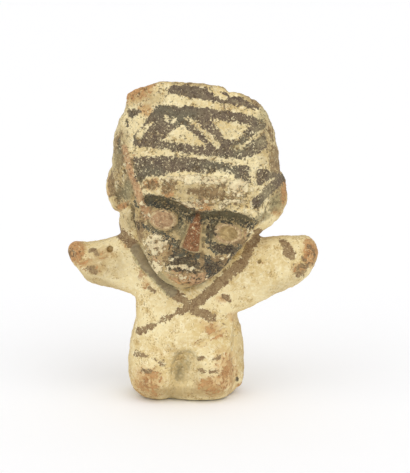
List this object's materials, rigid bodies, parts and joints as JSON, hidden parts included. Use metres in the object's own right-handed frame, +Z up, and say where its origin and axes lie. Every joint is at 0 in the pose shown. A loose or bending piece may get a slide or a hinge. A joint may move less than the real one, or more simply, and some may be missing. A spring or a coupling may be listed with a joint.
{
  "type": "clay priest figure",
  "caption": "Small standing clay figure with outstretched stub arms, a broad face and a tall banded head, which stands on its flattened underside.",
  "frame": {"origin": "middle of the flattened underside, on the surface that the figure stands on", "axes": "+Z up through the head, -Y out of the face, +X towards the figure's left arm, which is on the right seen from the front"},
  "size_m": [0.1253, 0.0514, 0.16],
  "materials": {
    "slipped_earthenware": "matt"
  },
  "bodies": {
    "root": {"figure": "slipped_earthenware"}
  },
  "joints": []
}
